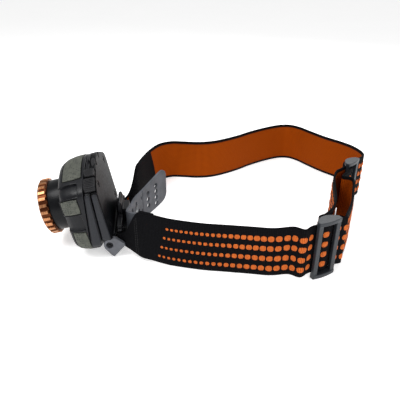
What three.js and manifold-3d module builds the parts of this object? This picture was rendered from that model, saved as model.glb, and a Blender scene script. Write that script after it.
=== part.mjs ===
// Zoom headlamp on a 32 mm elastic band, lying on its side rails as it is put down on a table.
// Millimetres, +Z up. The lamp looks along -Y, the band loops away behind it along +Y.
// The sizes below are counted from the point under the middle of the tilt hinge. The whole object is then
// moved so that its origin is the middle of its own footprint, on the surface that it lies on.
import * as THREE from "three";
import { mergeVertices } from "three/addons/utils/BufferGeometryUtils.js";
import Module from "manifold-3d";

const wasm = await Module();
wasm.setup();

// ---- driving dimensions -------------------------------------------------------------------
const GAP = 0.3; // clearance between pieces that touch
const BAND_WIDTH = 32;
const BAND_THICK = 1.6;
const FOLD_THICK = 1.2; // one layer of a sewn band end
const SLIDER_HEIGHT = 37.2;
const SLIDER_RAIL = 2.4;
const SLIDER_LIFT = 2.6; // the band's lower edge inside a slider
const BRACKET_LIFT = 2.2; // and at the bracket's bars
const HINGE_Y = -7.5; // tilt hinge axis
const HINGE_Z = 8.5;
const TILT = THREE.MathUtils.degToRad(10.8); // the lamp's nose-down tilt at rest
const BEAM_HEIGHT = 21.8; // beam axis above the hinge axis, in the lamp's own frame
const BODY_HALF_WIDTH = 29.5;
const BODY_HALF_HEIGHT = 27.5;
const BODY_CORNER = 2.7; // superellipse exponent of the body's outline
const WALL = 2;
const RIM = 20; // forward distances, from the hinge axis along the beam
const SHELL_SEAM = 6.4;
const FRAME_SEAM = 1.6;
const REAR_FACE = -7.7;
const RING_BACK = 30.5;
const RING_FRONT = 36.3;
const BARREL_RADIUS = 16;
const RING_RADIUS = 16.7;
const RING_RIBS = 26;
const NOTCH_HALF = 21.5; // the recess in the body's underside that holds the hinge
const NOTCH_TOP = -16.6;
const PIN_RADIUS = 1.7;
const EAR_RADIUS = 4.1;
const EAR_INNER = 16.5;
const EAR_OUTER = 20;
const BAR_X = 25.8; // the bracket's strap bars
const BAR_Y = 4;
const PAD_TOP = 29;
const PAD_FOOT = 3;

const COLOURS = {
  body: [0x32323a, 0.55, 0], inlay: [0x626459, 0.8, 0], gloss: [0x191c22, 0.2, 0], copper: [0xc88250, 0.3, 0.9],
  steel: [0x9a9a9a, 0.35, 0.9], lens: [0xdfe8ea, 0.05, 0], rubber: [0x1c1c1f, 0.85, 0], board: [0x1f5a38, 0.6, 0],
  cell: [0x3a6fae, 0.5, 0], led: [0xf0dc66, 0.4, 0], slider: [0x3c4048, 0.6, 0], pad: [0x696e75, 0.7, 0],
  band: [0x1a1c22, 0.9, 0], alloy: [0xb8bcc0, 0.4, 0.8],
};

// ---- geometry helpers ---------------------------------------------------------------------
function toSolid(geometry) {
  const bare = geometry.clone();
  bare.deleteAttribute("normal");
  bare.deleteAttribute("uv");
  const merged = mergeVertices(bare, 1e-4);
  return new wasm.Manifold(new wasm.Mesh({
    numProp: 3,
    vertProperties: new Float32Array(merged.attributes.position.array),
    triVerts: new Uint32Array(merged.index.array),
  }));
}

function toGeometry(solid) {
  const mesh = solid.getMesh();
  const geometry = new THREE.BufferGeometry();
  geometry.setAttribute("position", new THREE.BufferAttribute(new Float32Array(mesh.vertProperties), 3));
  geometry.setIndex(new THREE.BufferAttribute(new Uint32Array(mesh.triVerts), 1));
  geometry.computeVertexNormals();
  return geometry;
}

function joined(...parts) {
  return toGeometry(parts.map(toSolid).reduce((whole, part) => whole.add(part)));
}

function cut(base, ...tools) {
  return toGeometry(tools.map(toSolid).reduce((whole, tool) => whole.subtract(tool), toSolid(base)));
}

function overlap(first, second) {
  return toGeometry(toSolid(first).intersect(toSolid(second)));
}

function node(name, geometry, look) {
  const [color, roughness, metalness] = COLOURS[look];
  const mesh = new THREE.Mesh(geometry, new THREE.MeshStandardMaterial({ color, roughness, metalness }));
  mesh.name = name;
  return mesh;
}

function box(x0, x1, y0, y1, z0, z1) {
  const geometry = new THREE.BoxGeometry(x1 - x0, y1 - y0, z1 - z0);
  return geometry.translate((x0 + x1) / 2, (y0 + y1) / 2, (z0 + z1) / 2);
}

// The same box on the right, side 1, or on the left, side -1.
function sideBox(side, x0, x1, ...rest) {
  return side > 0 ? box(x0, x1, ...rest) : box(-x1, -x0, ...rest);
}

// A prism standing on the plan outline, from z0 to z1.
function standing(shape, z0, z1, steps = 1) {
  const settings = { depth: z1 - z0, bevelEnabled: false, steps, curveSegments: 8 };
  return new THREE.ExtrudeGeometry(shape, settings).translate(0, 0, z0);
}

// A prism across the beam: the shape's x is lateral and its y is up, from one forward distance to another.
function forward(shape, from, to, steps = 1) {
  const settings = { depth: to - from, bevelEnabled: false, steps, curveSegments: 10 };
  return new THREE.ExtrudeGeometry(shape, settings).rotateX(Math.PI / 2).translate(0, -from, 0);
}

// A prism along X: the shape's x is the object's y and its y is z.
function across(shape, x0, x1) {
  const settings = { depth: x1 - x0, bevelEnabled: false, curveSegments: 10 };
  const geometry = new THREE.ExtrudeGeometry(shape, settings);
  const turn = new THREE.Matrix4().set(0, 0, 1, x0, 1, 0, 0, 0, 0, 1, 0, 0, 0, 0, 0, 1);
  return geometry.applyMatrix4(turn);
}

function rodX(radius, x0, x1, y, z, sides = 32) {
  return new THREE.CylinderGeometry(radius, radius, x1 - x0, sides)
    .rotateZ(Math.PI / 2).translate((x0 + x1) / 2, y, z);
}

// A round rod along the beam.
function rodForward(radius, from, to, x = 0, z = 0, sides = 32) {
  return new THREE.CylinderGeometry(radius, radius, to - from, sides).translate(x, -(from + to) / 2, z);
}

// A turned piece about the beam axis: the profile holds [radius, forward distance], outwards at the back
// first, and closes on itself unless both its ends are on the axis.
function turned(profile, sides = 48) {
  const points = profile.map(([radius, ahead]) => new THREE.Vector2(radius, -ahead)).reverse();
  if (points[0].x > 0) points.push(points[0].clone());
  return new THREE.LatheGeometry(points, sides);
}

function superellipse(halfWidth, halfHeight, power = BODY_CORNER, count = 36) {
  const shape = new THREE.Shape();
  for (let i = 0; i < count; i += 1) {
    const angle = (i / count) * 2 * Math.PI;
    const c = Math.cos(angle);
    const s = Math.sin(angle);
    const x = halfWidth * Math.sign(c) * Math.abs(c) ** (2 / power);
    const y = halfHeight * Math.sign(s) * Math.abs(s) ** (2 / power);
    if (i === 0) shape.moveTo(x, y);
    else shape.lineTo(x, y);
  }
  shape.closePath();
  return shape;
}

// The body's outline at a forward distance, drawn in by an inset: it swells from the rim to the frame.
function bodyScale(ahead) {
  const stations = [[REAR_FACE, 0.9], [-6.2, 0.955], [-2.4, 0.965], [-2.3, 1], [12, 1], [17, 0.96], [RIM, 0.89]];
  const next = Math.max(1, stations.findIndex(([place]) => place >= ahead - 1e-6));
  const [a, scaleA] = stations[next - 1];
  const [b, scaleB] = stations[next];
  return scaleA + (scaleB - scaleA) * THREE.MathUtils.clamp((ahead - a) / (b - a), 0, 1);
}

function bodySlice(from, to, inset) {
  const outline = superellipse(BODY_HALF_WIDTH - inset, BODY_HALF_HEIGHT - inset);
  const slice = forward(outline, from, to);
  const place = slice.attributes.position;
  for (let i = 0; i < place.count; i += 1) {
    const scale = bodyScale(-place.getY(i));
    place.setXYZ(i, place.getX(i) * scale, place.getY(i), place.getZ(i) * scale);
  }
  return slice;
}

// Slices of the body stacked at the given forward distances.
function bodyStack(stations, inset) {
  const slices = stations.slice(1).map((to, i) => bodySlice(stations[i], to, inset));
  return joined(...slices);
}

// ---- the lamp's casing --------------------------------------------------------------------
const INLAY_ANGLES = [90, 27, -33, -90, -147, 153];
const INLAY_NAMES = ["inlay_top", "inlay_right_upper", "inlay_right_lower", "inlay_bottom", "inlay_left_lower",
  "inlay_left_upper"];
const INLAY_HALF_WIDTHS = [10, 6.5, 7, 10, 7, 6.5];

// Where a line from the beam axis at this angle meets the body's outline.
function outlineRadius(angle, halfWidth = BODY_HALF_WIDTH, halfHeight = BODY_HALF_HEIGHT) {
  const c = Math.abs(Math.cos(angle)) / halfWidth;
  const s = Math.abs(Math.sin(angle)) / halfHeight;
  return (c ** BODY_CORNER + s ** BODY_CORNER) ** (-1 / BODY_CORNER);
}

// A block that reaches in through the body's side at an angle: from radius r0 to r1, and from one
// forward distance to another.
function sideBlock(degrees, halfWidth, r0, r1, from, to) {
  return box(r0, r1, -to, -from, -halfWidth, halfWidth).rotateY(-THREE.MathUtils.degToRad(degrees));
}

const INLAY_FROM = 9;
const INLAY_TO = 17.4;

function frontHousing() {
  const outer = bodyStack([SHELL_SEAM, 12, 17, RIM], 0);
  const inner = bodyStack([SHELL_SEAM - 1, 12, RIM - 3], WALL);
  const bore = rodForward(BARREL_RADIUS + GAP, RIM - 5, RIM + 2, 0, 0, 48);
  const pockets = INLAY_ANGLES.map((degrees, i) => {
    const radius = outlineRadius(THREE.MathUtils.degToRad(degrees));
    return sideBlock(degrees, INLAY_HALF_WIDTHS[i] + GAP, radius - 1.1, radius + 6, INLAY_FROM - GAP, RIM + 1);
  });
  return cut(outer, inner, bore, ...pockets);
}

function inlay(i) {
  const degrees = INLAY_ANGLES[i];
  const radius = outlineRadius(THREE.MathUtils.degToRad(degrees));
  const block = sideBlock(degrees, INLAY_HALF_WIDTHS[i], radius - 0.8, radius + 6, INLAY_FROM, INLAY_TO);
  return overlap(block, bodyStack([SHELL_SEAM, 12, 17, RIM], -0.4));
}

const PORT_ANGLE = 40;
const PORT_RADIUS = outlineRadius(THREE.MathUtils.degToRad(PORT_ANGLE));
const PORT_HALF = 6;
const PORT_FROM = -1.9;
const PORT_TO = 5.9;
const WINDOW_ANGLE = 58;
const BUTTON_X = 7;
const BUTTON_HALF = 4.6;
const BUTTON_FROM = -1.6;
const BUTTON_TO = 5.6;
const BUTTON_FLOOR = 22.6;

function portPocket(clearance) {
  return sideBlock(PORT_ANGLE, PORT_HALF + clearance, PORT_RADIUS - 2.4 - clearance, PORT_RADIUS + 6,
    PORT_FROM - clearance, PORT_TO + clearance);
}

// The window through the wall for the charging socket.
function socketPocket() {
  return sideBlock(PORT_ANGLE, 4.4 + GAP, PORT_RADIUS - 12, PORT_RADIUS, 0.1, 3.7);
}

function buttonPocket(x, clearance) {
  const half = BUTTON_HALF + clearance;
  return box(x - half, x + half, -BUTTON_TO - clearance, -BUTTON_FROM + clearance, 20, 30);
}

// The recess in the underside for the hinge, open at the back.
function hingeNotch() {
  return box(-NOTCH_HALF, NOTCH_HALF, -5.9, 12, -32, NOTCH_TOP);
}

function windowPocket(clearance) {
  return sideBlock(WINDOW_ANGLE, 0.9 + clearance, 22, 34, 1.9 - clearance, 5.4 + clearance);
}

function hollowBody(from, to, innerFrom, innerTo) {
  const stations = [from, -6.2, -2.4, -2.3, to].filter((place, i) => i === 0 || place > from);
  const shell = cut(bodyStack(stations, 0), bodySlice(innerFrom, innerTo, WALL + 0.6));
  const slab = overlap(box(-24, 24, -to, -from, NOTCH_TOP, NOTCH_TOP + 1.8), bodySlice(from, to, WALL));
  return joined(shell, slab);
}

function midFrame() {
  const from = FRAME_SEAM + GAP;
  const to = SHELL_SEAM - GAP;
  const frame = hollowBody(from, to, from - 1, to + 1);
  return cut(frame, hingeNotch(), portPocket(GAP), socketPocket(), windowPocket(GAP), buttonPocket(-BUTTON_X, GAP),
    buttonPocket(BUTTON_X, GAP));
}

const COVER_SCREWS = [[-22, -11.5], [22, -11.5], [-18.5, 16.5], [18.5, 16.5]];

function rearCover() {
  const cover = hollowBody(REAR_FACE, FRAME_SEAM, REAR_FACE + 1.8, FRAME_SEAM + 1);
  const groove = cut(bodySlice(-3.1, -2.4, -3), bodySlice(-4, -1, 1.6));
  const screwSeats = COVER_SCREWS.map(([x, z]) => rodForward(2, REAR_FACE - 1, REAR_FACE + 3, x, z, 16));
  return cut(cover, groove, hingeNotch(), portPocket(GAP), socketPocket(), buttonPocket(-BUTTON_X, GAP),
    buttonPocket(BUTTON_X, GAP), ...screwSeats);
}

function coverScrew(x, z) {
  const shaft = rodForward(1.7, REAR_FACE + 0.3, REAR_FACE + 2.6, x, z, 16);
  return cut(shaft, rodForward(0.8, REAR_FACE - 1, REAR_FACE + 1.1, x, z, 6));
}

function portCover() {
  const block = sideBlock(PORT_ANGLE, PORT_HALF, PORT_RADIUS - 2.1, PORT_RADIUS + 6, PORT_FROM, PORT_TO);
  return overlap(block, bodyStack([PORT_FROM - 0.5, PORT_TO + 0.5], -0.7));
}

function usbSocket() {
  const reach = PORT_RADIUS - 2.9;
  const shell = sideBlock(PORT_ANGLE, 4.4, reach - 4.5, reach, 0.4, 3.4);
  return cut(shell, sideBlock(PORT_ANGLE, 3.8, reach - 3.5, reach + 1, 0.9, 2.9));
}

function topButton(x) {
  const block = box(x - BUTTON_HALF, x + BUTTON_HALF, -BUTTON_TO, -BUTTON_FROM, BUTTON_FLOOR, 30);
  return overlap(block, bodyStack([BUTTON_FROM - 0.5, BUTTON_TO + 0.5], -0.6));
}

function indicatorWindow() {
  return overlap(sideBlock(WINDOW_ANGLE, 0.9, 26, 34, 1.9, 5.4), bodyStack([1, SHELL_SEAM], 0.5));
}

// ---- the zoom barrel and its ring -----------------------------------------------------------
function zoomBarrel() {
  return turned([[14.4, 12.4], [BARREL_RADIUS, 12.4], [BARREL_RADIUS, RING_BACK - GAP], [15.3, RING_BACK - GAP],
    [15.3, 35], [14.4, 35], [14.4, 32.9], [13.6, 32.9], [13.6, 32.4], [14.4, 32.4]]);
}

function focusRing() {
  const hoop = turned([[15.6, RING_BACK], [RING_RADIUS, RING_BACK], [RING_RADIUS, RING_FRONT - 0.6],
    [RING_RADIUS - 0.6, RING_FRONT], [14.6, RING_FRONT], [14.6, RING_FRONT - 0.9], [15.6, RING_FRONT - 0.9]]);
  const ribs = [];
  for (let i = 0; i < RING_RIBS; i += 1) {
    const rib = box(RING_RADIUS - 0.5, RING_RADIUS + 0.8, -RING_FRONT + 0.5, -RING_BACK - 0.2, -1.25, 1.25);
    ribs.push(rib.rotateY((i / RING_RIBS) * 2 * Math.PI));
  }
  return joined(hoop, ...ribs);
}

function lens() {
  return turned([[0, 27.6], [13.2, 27.6], [13.2, 28.8], [12.4, 30], [10, 31.3], [6.5, 32], [0, 32.1]], 32);
}

function lensRetainer() {
  return turned([[12.7, 33.2], [14.1, 33.2], [14.1, 34.8], [12.2, 34.8]], 32);
}

function lensSeat() {
  return turned([[13.5, 26.4], [14.1, 26.4], [14.1, 32.1], [13.5, 32.1], [13.5, 27.3], [12, 27.3], [12, 26.4]], 32);
}

// ---- electronics --------------------------------------------------------------------------
function ledEmitter() {
  return turned([[0, 4.4], [1.8, 4.4], [1.8, 5.2], [1.2, 5.9], [0, 6.2]], 16);
}

const ledBoard = () => rodForward(9, 2.7, 4.1, 0, 0, 24);
const heatSink = () => rodForward(14, 0.5, 2.4, 0, 0, 32);
const driverBoard = () => box(-20, 20, 0.2, 1.4, -13, 14);
const batteryCell = () => forward(superellipse(19, 13, 5, 24), -5.6, -1.7);

// ---- the tilt hinge and its bracket -------------------------------------------------------
function earShape() {
  const shape = new THREE.Shape();
  const start = THREE.MathUtils.degToRad(65);
  const end = THREE.MathUtils.degToRad(228);
  shape.moveTo(4.2, 14.4);
  shape.lineTo(1, 14.4);
  shape.absarc(HINGE_Y, HINGE_Z, EAR_RADIUS, start, end, false);
  shape.lineTo(-6.2, 0);
  shape.lineTo(-4.6, 0);
  shape.lineTo(4.2, 9.4);
  shape.closePath();
  return shape;
}

function hingeBracket() {
  const plate = new THREE.Shape();
  plate.moveTo(-20.6, 2);
  plate.lineTo(20.6, 2);
  plate.lineTo(20.6, 34);
  plate.lineTo(17, 37);
  plate.lineTo(-17, 37);
  plate.lineTo(-20.6, 34);
  plate.closePath();
  const back = forward(plate, -4.2, -1.2);
  const solids = [back, box(-7, 7, 4, 6.3, 9, 25)];
  for (const side of [-1, 1]) {
    solids.push(across(earShape(), side > 0 ? EAR_INNER : -EAR_OUTER, side > 0 ? EAR_OUTER : -EAR_INNER));
    solids.push(sideBox(side, BAR_X - 1.2, BAR_X + 1.2, BAR_Y - 1.1, BAR_Y + 1.1, 0.2, 36.6));
    for (const z of [0.2, 34.7]) {
      solids.push(sideBox(side, 19, BAR_X + 1.2, 1.8, BAR_Y + 1.1, z, z + 1.7));
    }
  }
  return cut(joined(...solids), rodX(PIN_RADIUS + GAP, -30, 30, HINGE_Y, HINGE_Z));
}

function lampKnuckle() {
  const shape = new THREE.Shape();
  shape.moveTo(HINGE_Y + 3.9, HINGE_Z);
  shape.absarc(HINGE_Y, HINGE_Z, 3.9, 0, Math.PI, true);
  shape.lineTo(HINGE_Y - 3.9, HINGE_Z + 4.6);
  shape.lineTo(HINGE_Y + 3.9, HINGE_Z + 4.6);
  shape.closePath();
  const block = across(shape, -15, 15);
  return cut(block, rodX(PIN_RADIUS + GAP, -30, 30, HINGE_Y, HINGE_Z));
}

function hingeWasher(side) {
  const disc = rodX(3.5, side > 0 ? 15.3 : -16.2, side > 0 ? 16.2 : -15.3, HINGE_Y, HINGE_Z);
  return cut(disc, rodX(PIN_RADIUS + GAP, -30, 30, HINGE_Y, HINGE_Z));
}

const hingePin = () => rodX(PIN_RADIUS, -19, 19, HINGE_Y, HINGE_Z);

// ---- plan outlines of the band and the pad ------------------------------------------------
const plan = ([x, y]) => new THREE.Vector2(x, y);

// A closed plan outline of even thickness along a smooth route.
function ribbon(route, thickness, spacing) {
  const curve = new THREE.SplineCurve(route.map(plan));
  const count = Math.round(curve.getLength() / spacing);
  const near = [];
  const far = [];
  for (let i = 0; i <= count; i += 1) {
    const at = curve.getPointAt(i / count);
    const way = curve.getTangentAt(i / count);
    near.push(new THREE.Vector2(at.x + way.y * thickness / 2, at.y - way.x * thickness / 2));
    far.unshift(new THREE.Vector2(at.x - way.y * thickness / 2, at.y + way.x * thickness / 2));
  }
  return new THREE.Shape([...near, ...far]);
}

// The band's end sewn round a bar: a closed eye in plan, round a bar of the given half sizes.
function sewnEye(halfLength, halfDepth) {
  const grow = (margin) => {
    const a = halfLength + margin;
    const b = halfDepth + margin;
    const c = margin * 0.5;
    return [[a, -b + c], [a, b - c], [a - c, b], [-a + c, b], [-a, b - c], [-a, -b + c], [-a + c, -b], [a - c, -b]];
  };
  const shape = new THREE.Shape(grow(GAP + FOLD_THICK).map(plan));
  shape.holes.push(new THREE.Path(grow(GAP).map(plan)));
  return shape;
}

// A slider's frame: its middle, the way it points and its outward normal, in plan.
function sliderFrame(x, y, degrees) {
  const angle = THREE.MathUtils.degToRad(degrees);
  const along = [Math.cos(angle), Math.sin(angle)];
  const out = [along[1], -along[0]];
  return {
    x, y, angle,
    at: (s, t) => [x + s * along[0] + t * out[0], y + s * along[1] + t * out[1]],
  };
}

const NEAR_SLIDER = sliderFrame(56.6, 115.4, 111.7);
const FAR_SLIDER = sliderFrame(-21, 160.5, 131.5);
const HALF_SLIDER = 11;
const CENTRE_BAR = [1.4, 0.85]; // half length and half depth
const CENTRE_BAR_T = -2.75; // the centre bar lies towards the head

// Lifts the band's edge where it passes through a slider or the bracket.
function liftBand(geometry) {
  const holds = [[NEAR_SLIDER.x, NEAR_SLIDER.y, SLIDER_LIFT], [FAR_SLIDER.x, FAR_SLIDER.y, SLIDER_LIFT],
    [BAR_X, BAR_Y, BRACKET_LIFT], [-BAR_X, BAR_Y, BRACKET_LIFT]];
  const place = geometry.attributes.position;
  for (let i = 0; i < place.count; i += 1) {
    const lifts = holds.map(([x, y, lift]) => {
      const away = Math.hypot(place.getX(i) - x, place.getY(i) - y);
      return lift * (1 - THREE.MathUtils.smoothstep(away, 15, 45));
    });
    place.setZ(i, place.getZ(i) + Math.max(...lifts));
  }
  return geometry;
}

function bandSolid(...outlines) {
  return liftBand(joined(...outlines.map((outline) => standing(outline, 0, BAND_WIDTH))));
}

function eyeAt(shape, x, y, degrees) {
  const turn = THREE.MathUtils.degToRad(degrees);
  const middle = new THREE.Vector2(0, 0);
  const placed = (point) => point.clone().rotateAround(middle, turn).add(new THREE.Vector2(x, y));
  const turnedShape = new THREE.Shape(shape.getPoints().map(placed));
  for (const hole of shape.holes) {
    turnedShape.holes.push(new THREE.Path(hole.getPoints().map(placed)));
  }
  return turnedShape;
}

const NEAR_RUN = [[27.9, 6.3], [29.8, 8.8], [32.6, 12], [36, 18], [39.9, 25.5], [42.2, 32], [45.6, 46], [48.8, 60],
  [52.2, 74], [55.6, 87], [57.2, 96]];
const BETWEEN_SLIDERS = [[47, 130.5], [29, 141.4], [13, 149], [0, 154]];
const INNER_RUN = [[-5, 143], [8, 138.5], [24, 133], [38, 125.5], [46, 118.5]];

// The long strap: from the bracket's near bar through the near slider, round the far slider's near bar
// and back inside to its sewn end on the near slider's centre bar.
function longStrap() {
  const n = NEAR_SLIDER.at;
  const f = FAR_SLIDER.at;
  const weave = [n(-15, -0.5), n(-11, -1.1), n(-7.5, -1.1), n(-3.2, 0.1), n(0, 0.75), n(3.2, 0.1), n(7.5, -1.1),
    n(11, -1.1), n(15, -0.5)];
  const overBar = [f(-20, 4.8), f(-15, 4.3), f(-11, 4.25), f(-8, 4.15)];
  const round = [];
  for (let i = 1; i < 8; i += 1) {
    const angle = Math.PI / 2 - (i / 8) * Math.PI;
    round.push(f(-7.8 + 2.6 * Math.cos(angle), 1.6 + 2.6 * Math.sin(angle)));
  }
  const back = [f(-8.6, -1), f(-12, -1.3), f(-16, -2)];
  const end = [n(1.5, -8), n(0, -4.55)];
  const route = [...NEAR_RUN, ...weave, ...BETWEEN_SLIDERS, ...overBar, ...round, ...back, ...INNER_RUN, ...end];
  const [nx, ny] = n(0, CENTRE_BAR_T);
  return bandSolid(ribbon(route, BAND_THICK, 2.6),
    eyeAt(sewnEye(...CENTRE_BAR), nx, ny, 111.7), eyeAt(sewnEye(1.2, 1.1), BAR_X, BAR_Y, 0));
}

const FAR_RUN = [[-39, 178], [-48, 181.3], [-60, 179.5], [-71, 174], [-84, 165], [-98, 157.5], [-110, 151.5],
  [-117.2, 144.5], [-118, 135], [-113, 122], [-104, 106], [-95.5, 94], [-88.5, 82], [-83.5, 70], [-82.5, 58],
  [-85, 46], [-86.5, 36], [-82, 26.5], [-70, 19], [-55, 14.2], [-42, 10.9], [-32.5, 8], [-27.9, 6.2]];

// The short strap: from the far slider's centre bar round the back of the loop to the far bar.
function shortStrap() {
  const f = FAR_SLIDER.at;
  const route = [f(2.2, -2.6), f(4.5, -1.7), f(7.5, -1.15), f(11, -1.1), f(15, -0.8), ...FAR_RUN];
  const [fx, fy] = f(0, CENTRE_BAR_T);
  return bandSolid(ribbon(route, BAND_THICK, 3.2),
    eyeAt(sewnEye(...CENTRE_BAR), fx, fy, 131.5), eyeAt(sewnEye(1.2, 1.1), -BAR_X, BAR_Y, 0));
}

// A three-bar slider: two lens-shaped rails joined by two outer bars and a centre bar set inwards.
function slider(frame) {
  const rail = new THREE.Shape();
  rail.moveTo(-HALF_SLIDER, 0);
  rail.lineTo(-HALF_SLIDER, 2.8);
  rail.quadraticCurveTo(0, 4.6, HALF_SLIDER, 2.8);
  rail.lineTo(HALF_SLIDER, 0);
  rail.quadraticCurveTo(0, -7.4, -HALF_SLIDER, 0);
  const top = SLIDER_HEIGHT;
  const solids = [standing(rail, 0, SLIDER_RAIL), standing(rail, top - SLIDER_RAIL, top)];
  solids.push(box(-HALF_SLIDER, -7.2, 0.2, 2.9, 0.5, top - 0.5));
  solids.push(box(7.8, HALF_SLIDER, 0.2, 2.9, 0.5, top - 0.5));
  solids.push(box(-CENTRE_BAR[0], CENTRE_BAR[0], CENTRE_BAR_T - CENTRE_BAR[1], CENTRE_BAR_T + CENTRE_BAR[1], 0.5,
    top - 0.5));
  // the rail is drawn with t outwards: the slider frame's outward normal is -y once turned
  const whole = joined(...solids).rotateX(Math.PI).translate(0, 0, top);
  return whole.rotateZ(frame.angle).translate(frame.x, frame.y, 0);
}

const RIVET_X = 3.2;
const RIVET_Z = 17;
const PAD_ROUTE = [[0, 7.4], [6, 7.6], [10.5, 10], [20, 16.4], [29, 22.2], [38, 27]];

function foreheadPad() {
  const mirrored = PAD_ROUTE.slice(1).map(([x, y]) => [-x, y]).reverse();
  const plate = standing(ribbon([...mirrored, ...PAD_ROUTE], 1.6, 3), PAD_FOOT, PAD_TOP);
  const holes = [-1, 1].map((side) => rodForward(1.4, -12, -2, side * RIVET_X, RIVET_Z, 16));
  return cut(plate, ...holes);
}

function padRivet(side) {
  const shank = rodForward(1.1, -8.8, -6.6, side * RIVET_X, RIVET_Z, 16);
  return joined(shank, rodForward(1.9, -9.5, -8.7, side * RIVET_X, RIVET_Z, 16));
}

// ---- assembly -----------------------------------------------------------------------------
const headlamp = new THREE.Group();
const lamp = new THREE.Group();
lamp.position.set(0, HINGE_Y, HINGE_Z);
lamp.rotation.x = TILT;
const head = new THREE.Group();
head.position.z = BEAM_HEIGHT;
lamp.add(head);
headlamp.add(lamp);

head.add(node("front_housing", frontHousing(), "body"));
INLAY_NAMES.forEach((name, i) => head.add(node(name, inlay(i), "inlay")));
head.add(node("mid_frame", midFrame(), "body"));
head.add(node("rear_cover", rearCover(), "body"));
COVER_SCREWS.forEach(([x, z], i) => head.add(node(`cover_screw_${i + 1}`, coverScrew(x, z), "steel")));
head.add(node("port_cover", portCover(), "rubber"));
head.add(node("usb_socket", usbSocket(), "steel"));
head.add(node("power_button", topButton(-BUTTON_X), "rubber"));
head.add(node("sensor_button", topButton(BUTTON_X), "rubber"));
head.add(node("indicator_window", indicatorWindow(), "gloss"));
head.add(node("zoom_barrel", zoomBarrel(), "gloss"));
head.add(node("focus_ring", focusRing(), "copper"));
head.add(node("lens", lens(), "lens"));
head.add(node("lens_seat", lensSeat(), "gloss"));
head.add(node("lens_retainer", lensRetainer(), "gloss"));
head.add(node("led_emitter", ledEmitter(), "led"));
head.add(node("led_board", ledBoard(), "alloy"));
head.add(node("heat_sink", heatSink(), "alloy"));
head.add(node("driver_board", driverBoard(), "board"));
head.add(node("battery_cell", batteryCell(), "cell"));

// The knuckle is drawn upright at the hinge, so its holder takes the lamp's frame to the object's.
const knuckleHolder = new THREE.Group();
knuckleHolder.position.set(0, -HINGE_Y, -HINGE_Z);
knuckleHolder.add(node("lamp_knuckle", lampKnuckle(), "body"));
lamp.add(knuckleHolder);

headlamp.add(node("hinge_bracket", hingeBracket(), "body"));
headlamp.add(node("hinge_pin", hingePin(), "steel"));
headlamp.add(node("hinge_washer_right", hingeWasher(1), "steel"));
headlamp.add(node("hinge_washer_left", hingeWasher(-1), "steel"));
headlamp.add(node("forehead_pad", foreheadPad(), "pad"));
headlamp.add(node("pad_rivet_right", padRivet(1), "steel"));
headlamp.add(node("pad_rivet_left", padRivet(-1), "steel"));
headlamp.add(node("long_strap", longStrap(), "band"));
headlamp.add(node("short_strap", shortStrap(), "band"));
headlamp.add(node("near_slider", slider(NEAR_SLIDER), "slider"));
headlamp.add(node("far_slider", slider(FAR_SLIDER), "slider"));

const FOOTPRINT_MIDDLE = [-27.92, 65.96];
headlamp.position.set(-FOOTPRINT_MIDDLE[0], -FOOTPRINT_MIDDLE[1], 0);

export default headlamp;
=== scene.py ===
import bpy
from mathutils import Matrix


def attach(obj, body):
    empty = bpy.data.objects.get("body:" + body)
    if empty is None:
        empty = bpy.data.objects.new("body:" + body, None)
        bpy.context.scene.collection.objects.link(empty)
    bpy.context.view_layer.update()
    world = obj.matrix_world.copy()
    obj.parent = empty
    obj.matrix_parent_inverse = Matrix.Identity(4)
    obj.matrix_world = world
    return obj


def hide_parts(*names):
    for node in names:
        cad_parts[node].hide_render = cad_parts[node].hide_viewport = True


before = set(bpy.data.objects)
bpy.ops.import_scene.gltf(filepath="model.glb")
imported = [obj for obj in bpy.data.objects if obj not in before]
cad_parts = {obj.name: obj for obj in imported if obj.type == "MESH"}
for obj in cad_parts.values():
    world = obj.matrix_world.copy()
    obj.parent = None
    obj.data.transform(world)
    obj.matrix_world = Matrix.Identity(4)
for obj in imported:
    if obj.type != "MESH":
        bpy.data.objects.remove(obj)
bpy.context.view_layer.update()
import math
import random

import bmesh
import bpy
import numpy as np
from mathutils import Vector

random.seed(11)
rng = np.random.default_rng(11)
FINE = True

# ---- driving dimensions, in millimetres from the point under the middle of the tilt hinge ----
FOOTPRINT_MIDDLE = np.array([-27.92, 65.96, 0.0])  # of the whole object, the row frame's origin
TILT = math.radians(10.8)
HINGE_Y, HINGE_Z = -7.5, 8.5
BEAM_HEIGHT = 21.8
CASING_SIDE, CASING_TOP = 29.7, 27.4  # the casing's flat sides and its top, from the beam axis
CHAMFER_TURN = 67.3  # of the shoulders' outward direction above the horizontal, in degrees
CHAMFER, CHAMFER_UNDER = 27.44, 30.6  # the shoulders and the lower corners, from the beam axis
REAR_FACE = -3.5
SEAM_FRAME, LEAN_FRAME = 1.6, -0.073  # rear cover to mid frame
SEAM_SHELL, LEAN_SHELL = 6.9, -0.17  # mid frame to front shell
SEAM_GAP = 0.16
RIM = 20.0
NOTCH_TOP, NOTCH_FRONT = -16.6, 5.9
SOCKET_ANGLE = 42.0  # of the socket's middle round the beam, in degrees
PORT_HINGE = (28.17, 15.8)  # the socket cover's hinge line, across and up from the beam
BUTTON_X, BUTTON_F = 7, -1.95  # a button's middle, across and forward
BEAM = (0, 0)  # the beam's own place, across and up
BARREL_R, RING_R = 16.0, 16.7
RING_BACK, RING_FRONT = 30.5, 36.3
RING_RIBS = 26
BAND_WIDTH, BAND_THICK = 32.0, 1.5
SLIDER_HEIGHT, SLIDER_RAIL, HALF_SLIDER = 37.2, 2.4, 7.8
SLIDER_BAR = 3.0  # width of a slider's outer bars
POST_X, POST_Y, POST_Z = 21.4, -0.7, 8.3  # the bracket's strap posts
PINCH = 0.24  # the share of its width that the band keeps at a post
VOXEL = 0.26 if FINE else 0.5


# ---- frames and mesh helpers ----
def to_row(points):
    return (np.asarray(points, float) - FOOTPRINT_MIDDLE) * 0.001


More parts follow.
